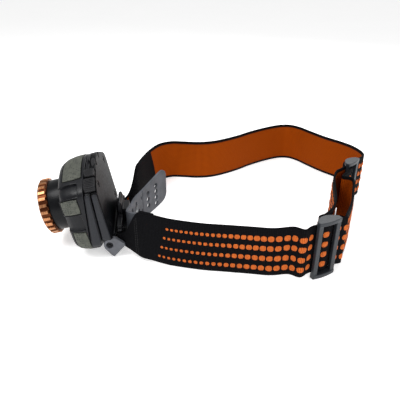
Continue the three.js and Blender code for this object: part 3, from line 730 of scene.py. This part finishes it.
def hinge():
    pin = rounded(boolean(hinge_rod(1.65, -25.6, 25.6), [hinge_rod(0.8, 24.8, 27, 6)]), 0.2, 2)
    place_on_band(pin, "pin", DARK_STEEL, "hinge_pin", None)
    for name, start, end in (("right", 22.8, 23.7), ("left", -23.7, -22.8)):
        disc = rounded(boolean(hinge_rod(3.5, start, end, 64), [hinge_rod(1.95)]), 0.2, 2)
        place_on_band(disc, "washer_" + name, STEEL, "hinge_washer_" + name, None)
    under = [math.pi * 2 * k / 48 for k in range(24, 49)]
    arc = [(HINGE_Y + 3.9 * math.cos(t), HINGE_Z + 3.9 * math.sin(t)) for t in under]
    lean = 0.19  # of the knuckle's top, which meets the tilted casing
    arc += [(HINGE_Y + 3.7 - lean * 1.2, HINGE_Z + 6.2), (HINGE_Y - 3.9 - lean, HINGE_Z + 5.1)]
    knuckles = [prism_x(arc, x0, x1) for x0, x1 in ((-22.4, -10), (-9.4, 9.4), (10, 22.4))]
    knuckle = boolean(hinge_rod(3.2, -22, 22), knuckles, "UNION")
    knuckle = boolean(knuckle, [hinge_rod(1.95)])
    place(rounded(knuckle), "knuckle", "hinge", "lamp", HOUSING, "lamp_knuckle", sharp=None)


# ---- routes in plan ----
def route_points(knots, step):
    """The route's points at an even spacing, on a uniform Catmull-Rom curve through the knots."""
    p = np.array(knots, float)
    dense = []
    for i in range(len(p) - 1):
        p0, p1, p2, p3 = p[max(i - 1, 0)], p[i], p[i + 1], p[min(i + 2, len(p) - 1)]
        for t in np.linspace(0, 1, 40, endpoint=False):
            v0, v1 = (p2 - p0) / 2, (p3 - p1) / 2
            cubic, square = 2 * p1 - 2 * p2 + v0 + v1, -3 * p1 + 3 * p2 - 2 * v0 - v1
            dense.append(cubic * t**3 + square * t**2 + v0 * t + p1)
    dense = np.array(dense + [p[-1]])
    length = np.concatenate([[0], np.cumsum(np.linalg.norm(np.diff(dense, axis=0), axis=1))])
    s = np.linspace(0, length[-1], max(4, int(round(length[-1] / step))) + 1)
    at = np.stack([np.interp(s, length, dense[:, k]) for k in (0, 1)], 1)
    return s, at, outward(np.gradient(at, axis=0))


def outward(way):
    """Unit normals to the right of a row of directions."""
    way = way / np.linalg.norm(way, axis=1)[:, None]
    return np.stack([way[:, 1], -way[:, 0]], 1)


def on_route(spot, s, path):
    """A place or normal of a route at a distance along it."""
    return np.array([np.interp(spot, s, path[:, k]) for k in (0, 1)])


class Frame:
    """A slider's middle and direction, in plan."""

    def __init__(self, x, y, degrees):
        self.middle, self.degrees = np.array([x, y]), degrees
        a = math.radians(degrees)
        self.along = np.array([math.cos(a), math.sin(a)])
        self.out = np.array([math.sin(a), -math.cos(a)])

    def at(self, s, t):
        return tuple(self.middle + s * self.along + t * self.out)


NEAR, FAR = Frame(56.6, 115.4, 111.7), Frame(-21, 160.5, 131.5)
CENTRE_BAR, CENTRE_BAR_T = (1.4, 0.85), -2.75
NEAR_RUN = [(23.3, 0.6), (24.6, 2.6), (26.4, 4.9), (28.1, 6.9), (29.8, 8.8), (32.6, 12), (36, 18),
            (39.9, 25.5), (42.2, 32), (45.6, 46), (48.8, 60), (52.2, 74), (55.6, 87), (57.2, 96)]
BETWEEN_SLIDERS = [(47, 130.5), (29, 141.4), (13, 149), (0, 154)]
INNER_RUN = [(-5, 143), (8, 138.5), (24, 133), (38, 125.5), (46, 118.5)]
FAR_RUN = [(-39, 178), (-48, 181.3), (-60, 179.5), (-71, 174), (-84, 165), (-98, 157.5), (-110, 151.5),
           (-117.2, 144.5), (-118, 135), (-113, 122), (-104, 106), (-95.5, 94), (-88.5, 82), (-83.5, 70),
           (-82.5, 58), (-85, 46), (-86.5, 36), (-82, 26.5), (-70, 19), (-55, 14.2), (-42, 10.9),
           (-33.5, 8.6), (-29.2, 6.9), (-26.2, 4.7), (-24.5, 2.6), (-23.3, 0.6)]


def long_route():
    n, f = NEAR.at, FAR.at
    weave_in = [n(-15, -0.5), n(-10, -1.1), n(-5.8, -1.1), n(-2.7, 0.0), n(0, 0.7), n(2.7, 0.0),
                n(5.8, -1.1), n(10, -1.1), n(15, -0.5)]
    over = [f(-20, 4.8), f(-15, 4.2), f(-11, 3.95), f(-8, 3.85)]
    fold = [math.pi / 2 - k / 8 * math.pi for k in range(1, 8)]
    turn = [f(-6.3 + 2.45 * math.cos(a), 1.5 + 2.4 * math.sin(a)) for a in fold]
    back = [f(-8.6, -1), f(-12, -1.3), f(-16, -2)] + INNER_RUN + [n(1.5, -8), n(0, -4.55)]
    return NEAR_RUN + weave_in + BETWEEN_SLIDERS + over + turn + back


def short_route():
    f = FAR.at
    return [f(2.2, -2.6), f(4.5, -1.7), f(7.5, -1.15), f(11, -1.1), f(15, -0.8)] + FAR_RUN


def smoothstep(x, a, b):
    t = np.clip((x - a) / (b - a), 0, 1)
    return t * t * (3 - 2 * t)


def settle(points):
    """Lifts the band where a slider holds it up, and gathers it to the height of the bracket's posts."""
    p = np.array(points, float)
    away = [np.hypot(p[:, 0] - x, p[:, 1] - y) for x, y in (NEAR.middle, FAR.middle)]
    lift = np.max([2.6 * (1 - smoothstep(d, 9, 34)) for d in away], axis=0)
    lift += 2.2 * (1 - smoothstep(np.hypot(np.abs(p[:, 0]) - 28, p[:, 1] - 9), 9, 48))
    post = np.hypot(np.abs(p[:, 0]) - POST_X, p[:, 1] - POST_Y)
    width = PINCH + (1 - PINCH) * smoothstep(post, 0.5, 18)
    middle = POST_Z + (BAND_WIDTH / 2 - POST_Z) * smoothstep(post, 2, 17)
    p[:, 2] = middle + (p[:, 2] - BAND_WIDTH / 2) * width + lift
    return p


def band_profile(thick):
    """The band's cross section as (outward, up, side) points: flat faces and rounded selvedges."""
    half, high = thick / 2, BAND_WIDTH - thick / 2
    flat = np.linspace(half, high, 22)
    pts = [(half, z, 1.0) for z in flat]
    for k in range(1, 6):
        t = math.pi / 2 - math.pi * k / 6
        pts.append((half * math.sin(t), high + half * math.cos(t), 0.0))
    pts += [(-half, z, -1.0) for z in flat[::-1]]
    for k in range(1, 6):
        t = -math.pi / 2 + math.pi * k / 6
        pts.append((half * math.sin(t), half - half * math.cos(t), 0.0))
    return np.array(pts)


def ribbon(at, out, s, thick=BAND_THICK, offset=0.0, closed=False, end_arc=0.0, end_slant=0.0):
    """A length of webbing on edge along a plan route; its last end may be cut round or on a slant."""
    profile = band_profile(thick)
    loops, along, across, side = [], [], [], []
    z = (profile[:, 1] / BAND_WIDTH - 0.5) * 2
    reach, count, step = len(at) // 2, len(at), abs(s[1] - s[0])
    for k in range(count):
        share = max(0, (k - (count - reach)) / max(1, reach - 1)) if end_arc or end_slant else 0
        spot = k - share * (end_arc * z**2 + end_slant * (z + 1) / 2) / step
        middle, normal = (on_route(spot, np.arange(count), path).T for path in (at, out))
        xy = middle + (profile[:, 0] + offset)[:, None] * normal
        loops.append(np.column_stack([xy, profile[:, 1]]))
        along.append(np.interp(spot, np.arange(count), s))
        across.append(profile[:, 1] - BAND_WIDTH / 2)
        side.append(profile[:, 2])
    loops = np.array(loops)
    flat = settle(loops.reshape(-1, 3)).reshape(loops.shape)
    obj = loft("ribbon", flat, closed)
    for name, values in (("along", along), ("across", across), ("side", side)):
        set_attribute(obj, name, np.concatenate(values))
    return obj


def eye(x, y, a, b, degrees, thick=1.2):
    """The sewn end's loop round a bar, a closed ribbon."""
    turn = math.radians(degrees)
    t = full_turn(40)
    c, s = np.cos(t), np.sin(t)
    px, py = a * np.sign(c) * np.abs(c) ** 0.8, b * np.sign(s) * np.abs(s) ** 0.8
    at = np.stack([x + px * math.cos(turn) - py * math.sin(turn),
                   y + px * math.sin(turn) + py * math.cos(turn)], 1)
    out = outward(np.roll(at, -1, 0) - np.roll(at, 1, 0))
    return ribbon(at, out, t * 2, thick=thick, closed=True)


DOT_ROWS = (25.1, 18.7, 12.0, 5.3)
FIRST_DOT = 27.0  # from the bracket's post


def dot_columns(length):
    s = FIRST_DOT
    while s < length:
        yield s
        s += 2.9 + 2.5 * min(1, (s - FIRST_DOT) / 105)


def dots(s, at, out, from_start, skip):
    """Raised woven dots: they grow and spread with the distance from the bracket."""
    points, faces, along, across = [], [], [], []
    total = s[-1]
    for column in dot_columns(total - 4):
        size = np.interp(column - FIRST_DOT, [0, 30, 45, 65], [1.75, 2.5, 3.3, 4.0]) / 2
        slant = 5.5 * (1 - min(1, (column - FIRST_DOT) / 65))
        for row, z in enumerate(DOT_ROWS):
            centre = column + slant * (1 - row / 3)
            if centre > total - 4:
                continue
            here = centre if from_start else total - centre
            if skip(on_route(here, s, at)):
                continue
            start = len(points)
            rings, count = 4, 20
            jitter = 1 + 0.07 * rng.standard_normal(4)
            for ring in range(rings + 1):
                share = ring / rings
                height = 0.34 * math.sqrt(max(0, 1 - share**2.6)) - (0.12 if ring == rings else 0)
                for k in range(count if ring else 1):
                    t = 2 * math.pi * k / count
                    c, q = math.cos(t), math.sin(t)
                    r = size * share * jitter[k * 4 // count] ** 0.5
                    da = r * math.copysign(abs(c) ** 0.78, c)
                    dz = r * math.copysign(abs(q) ** 0.78, q)
                    spot = here + da
                    xy = on_route(spot, s, at) + on_route(spot, s, out) * (BAND_THICK / 2 + height)
                    points.append((xy[0], xy[1], z + dz))
                    along.append(spot)
                    across.append(z + dz)
            for ring in range(rings):
                for k in range(count):
                    j = (k + 1) % count
                    outer = start + 1 + ring * count
                    if ring == 0:
                        faces.append((start, outer + k, outer + j))
                    else:
                        inner = outer - count
                        faces.append((inner + k, outer + k, outer + j, inner + j))
            last = start + 1 + (rings - 1) * count
            faces.append(tuple(last + k for k in range(count))[::-1])
    obj = solid("dots", settle(points), faces)
    set_attribute(obj, "along", along)
    set_attribute(obj, "across", across)
    return obj


def stitches(rows, s, at, out, face, offset=0.0):
    """Rows of thread across the band: short plump stitches, slightly tipped."""
    points, faces = [], []
    for row in rows:
        middle, normal = on_route(row, s, at), on_route(row, s, out)
        for z in np.arange(2.0, BAND_WIDTH - 2, 1.75):
            way = np.array([-normal[1], normal[0]])
            tip = 0.18 * random.uniform(-1, 1)
            start = len(points)
            for i in range(7):
                u = i / 6 * 2 - 1
                fat = 0.2 * math.sqrt(max(0.02, 1 - u * u))
                for k in range(8):
                    t = 2 * math.pi * k / 8
                    xy = middle + way * (tip * u + fat * math.cos(t))
                    xy = xy + normal * face * (BAND_THICK / 2 + offset + 0.02 + fat * 0.8 * math.sin(t))
                    points.append((xy[0], xy[1], z + 0.72 * u))
            for i in range(6):
                for k in range(8):
                    j = (k + 1) % 8
                    a, b = start + i * 8, start + (i + 1) * 8
                    faces.append((a + k, a + j, b + j, b + k))
            faces.append(tuple(start + k for k in range(8))[::-1])
            faces.append(tuple(start + 48 + k for k in range(8)))
    return solid("stitches", settle(points), faces)


def join_ribbons(objs):
    """Joins ribbons into one object and keeps their along, across and side values."""
    values = {key: [] for key in ("along", "across", "side")}
    for obj in objs:
        for key in values:
            data = np.zeros(len(obj.data.vertices), np.float32)
            obj.data.attributes[key].data.foreach_get("value", data)
            values[key].append(data)
    whole = merge("ribbons", objs)
    for key, parts in values.items():
        set_attribute(whole, key, np.concatenate(parts))
    return whole


def near_bar(p, frame_, low=3.3, high=6.3):
    """True where a dot would sit under one of a slider's outer bars."""
    d = p - frame_.middle
    along, side = abs(float(d @ frame_.along)), float(d @ frame_.out)
    return low < along < high and -4 < side < 5.5


def fold_back(at, out, s, **shape):
    """The end of a band, folded back against its inner face."""
    return ribbon(at, out, s, thick=1.0, offset=-1.28, **shape)


def dark_flap(at, out, s, **shape):
    """A folded end that is black on both faces."""
    flap = fold_back(at, out, s + 400, **shape)
    flap.data.attributes["side"].data.foreach_set("value", np.ones(len(flap.data.vertices), np.float32))
    return flap


def end_loops(post_x, frame_):
    """The loops round the bracket's post and round a slider's centre bar."""
    x, y = frame_.at(0, CENTRE_BAR_T)
    return [eye(post_x, POST_Y, 1.75, 1.75, 0),
            eye(x, y, CENTRE_BAR[0] + 0.9, CENTRE_BAR[1] + 0.9, frame_.degrees)]


SEAMS = np.array([11, 12.6])  # the sewn rows' distances along a band, from its end at the post


def straps():
    step = 1.0 if FINE else 2.0
    s, at, out = route_points(long_route(), step)
    ribbons = [ribbon(at, out, s)] + end_loops(POST_X, NEAR)
    k, j = np.searchsorted(s, 26), len(s) - np.searchsorted(s, 16)
    ribbons += [dark_flap(at[2:k], out[2:k], s[2:k], end_arc=3.0), fold_back(at[j:-2], out[j:-2], s[j:-2])]
    place_on_band(join_ribbons(ribbons), "long_band", BAND, "long_strap")
    marks = dots(s, at, out, True, lambda p: near_bar(p, NEAR) or near_bar(p, FAR))
    place_on_band(marks, "long_band_dots", DOT)
    place_on_band(stitches(SEAMS, s, at, out, 1), "long_band_stitches", THREAD)

    s, at, out = route_points(short_route(), step)
    ribbons = [ribbon(at, out, s)] + end_loops(-POST_X, FAR)
    k = np.searchsorted(s, s[-1] - 60)
    ribbons.append(dark_flap(at[-3:k:-1], out[-3:k:-1], s[-3:k:-1], end_arc=2.0, end_slant=9.0))
    place_on_band(join_ribbons(ribbons), "short_band", BAND, "short_strap")
    marks = dots(s, at, out, False, lambda p: near_bar(p, FAR, -1, 9) or near_bar(p, NEAR))
    place_on_band(marks, "short_band_dots", DOT)
    seams = s[-1] - SEAMS
    sewn = merge("sewn", [stitches(seams, s, at, out, -1, offset=1.0), stitches(seams, s, at, out, 1)])
    place_on_band(sewn, "short_band_stitches", THREAD)


# ---- sliders and pad ----
def slider(frame_, name, node):
    top = SLIDER_HEIGHT

    def upright(outline, z0, z1):
        return loft("upright", [[(*frame_.at(a, b), z) for a, b in outline] for z in (z0, z1)])

    def bar(s0, s1, t0, t1):
        return upright([(s0, t0), (s1, t0), (s1, t1), (s0, t1)], 0.5, top - 0.5)

    outline = [(-HALF_SLIDER, 0)]
    for k in range(13):
        u = k / 12
        outline.append(((2 * u - 1) * HALF_SLIDER, 2.8 * (1 - u) ** 2 + 4.6 * 2 * u * (1 - u) + 2.8 * u**2))
    outline.append((HALF_SLIDER, 0))
    for k in range(1, 12):
        u = k / 12
        outline.append(((1 - 2 * u) * HALF_SLIDER, -7.4 * 2 * u * (1 - u)))
    half, (middle_s, middle_t) = HALF_SLIDER, CENTRE_BAR
    parts = [upright(outline, top - SLIDER_RAIL, top), bar(-half, SLIDER_BAR - half, 0.4, 2.6),
             bar(half - SLIDER_BAR, half, 0.4, 2.6),
             bar(-middle_s, middle_s, CENTRE_BAR_T - middle_t, CENTRE_BAR_T + middle_t)]
    whole = rounded(boolean(upright(outline, 0, SLIDER_RAIL), parts, "UNION"), 0.22 if FINE else 0.4, 6)
    place_on_band(whole, name, SLIDER_MAT, node, None)


PAD_ROUTE = [(-40.4, 29.2), (-36, 26.2), (-29, 22), (-20, 16.3), (-11, 11.2), (-3.5, 8.0), (3.5, 6.3),
             (10.5, 4.4), (15.5, 4.0), (19.0, 6.0), (22.4, 11.0), (25.4, 16.2), (28.6, 22.0)]
PAD_FOOT, PAD_THICK = 3.0, 1.7


def forehead_pad():
    """A moulded plate, made flat with its openings and then bent to its route."""
    s, at, out = route_points(PAD_ROUTE, 0.5)
    total = s[-1]
    middle = total * 0.5

    def top(u):
        wing = smoothstep(abs(u - middle), 6, middle - 2)
        return 24.6 + (4.6 if u < middle else 3.4) * wing

    count = 90
    edge = [(u, top(u)) for u in np.linspace(0, total, count)]
    foot = [(u, PAD_FOOT + 1.4 * (abs(u - middle) / middle) ** 3) for u in np.linspace(total, 0, count)]
    outline = np.array(edge + foot)
    for row in outline:  # round the wing tips
        for end in (0, total):
            d = abs(row[0] - end)
            if d < 7:
                reach = 7 - math.sqrt(max(0, 49 - (7 - d) ** 2))
                row[1] += -reach * 0.75 if row[1] > 15 else reach * 0.75
    sheet = loft("pad", [[(u, w, z) for u, z in outline] for w in (-PAD_THICK / 2, PAD_THICK / 2)])

    def hole(u, z, a, b):
        ring = [(u + a * math.cos(t), z + b * math.sin(t)) for t in full_turn(28)]
        return loft("tool", [[(p, w, q) for p, q in ring] for w in (-3, 3)])

    tools = []
    for side in (-1, 1):
        wing = 0 if side < 0 else total
        for d, shift in ((14.5, 0.0), (25.0, -1.5)):
            for z in (7.0, 11.7, 16.4, 21.1, 25.4):
                z = z + shift
                if z < top(wing - side * d) - 2.6 and z > PAD_FOOT + 2.6:
                    tools.append(hole(wing - side * d, z, 1.75, 1.75))
    for column in range(-2, 3):
        for z in (6.8, 10.8, 20.2):
            if abs(column) != 1 or z != 20.2:
                tools.append(hole(middle + column * 4.4, z + (2 if column % 2 else 0), 0.85, 1.35))
    tools.append(block(32.0, 33.0, 0.35, 2.35, PAD_FOOT - 1, 32))  # a groove down the inner face
    pad = rounded(boolean(sheet, tools), 0.24 if FINE else 0.4, 5)
    u, w, z = coordinates(pad.data).T
    x, y = on_route(u, s, at) - w * on_route(u, s, out)
    pad.data.vertices.foreach_set("co", np.stack([x, y, z], 1).ravel())
    place_on_band(pad, "brow_pad", PAD, "forehead_pad", None)


# ---- inside the casing ----
def innards():
    cell = casing_loft([(-1.85, 0, 0.62), (-1.6, 0, 0.66), (-1.55, 0, 0.66), (-1.5, 0, 0.62)])
    for vertex in cell.data.vertices:
        vertex.co.z *= 0.72
    place(cell, "pouch_cell", "lamp", "lamp", CELL, "battery_cell", sharp=50)


front_housing()
mid_frame()
rear_cover()
cover_screws()
port_cover()
socket()
buttons()
window()
focus_ring()
barrel()
bracket()
hinge()
straps()
slider(NEAR, "slider_near", "near_slider")
slider(FAR, "slider_far", "far_slider")
forehead_pad()
innards()
for node, material in (("led_emitter", EMITTER), ("led_board", ALLOY), ("heat_sink", ALLOY),
                       ("driver_board", BOARD), ("pad_rivet_right", STEEL), ("pad_rivet_left", STEEL)):
    bpy.data.objects[node].material_slots[0].material = material

# ---- camera, lights and floor ----
camera_data = bpy.data.cameras.new("camera")
camera = linked("camera", camera_data)
camera.location = (0.28882, -0.04266, 0.1614)
camera.rotation_euler = (math.radians(62.09), 0, math.radians(84))
camera_data.lens, camera_data.sensor_width, camera_data.clip_start = 40.5, 36, 0.005
bpy.context.scene.camera = camera


def lamp_light(name, place_at, target, size, power, colour=(1, 1, 1)):
    data = bpy.data.lights.new(name, "AREA")
    data.energy, data.size, data.color = power, size, colour
    obj = linked(name, data)
    obj.location = place_at
    obj.rotation_euler = (Vector(target) - Vector(place_at)).to_track_quat("-Z", "Y").to_euler()


lamp_light("key", (0.15, -0.35, 0.55), (0, -0.03, 0.02), 0.3, 2.4)
lamp_light("back", (-0.35, 0.25, 0.45), (0, 0, 0.02), 0.45, 2.0)
lamp_light("fill", (0.5, 0.3, 0.3), (0, 0, 0.02), 0.5, 1.6)

world = bpy.data.worlds.new("studio")
bpy.context.scene.world = world
world.use_nodes = True
colour, strength = world.node_tree.nodes["Background"].inputs[:2]
colour.default_value, strength.default_value = (1, 1, 1, 1), 0.45

floor_material = Nodes("floor_white")
floor_tone = floor_material.ramp(floor_material.noise(8.0, 2.0), 0.3, 0.7, 0.93, 0.95)
floor_material.set(Base_Color=floor_tone, Roughness=0.9, Emission_Color=(1, 1, 1, 1), Emission_Strength=0.49)
FLOOR_RADIUS, FLOOR_TOP = 3, -0.0001  # metres
floor = loft("floor", [[(x, y, z) for x, y in circle(0, 0, FLOOR_RADIUS, 64)] for z in (-0.004, FLOOR_TOP)])
floor.data.materials.append(floor_material.material)
bpy.context.scene.view_settings.view_transform = "Standard"
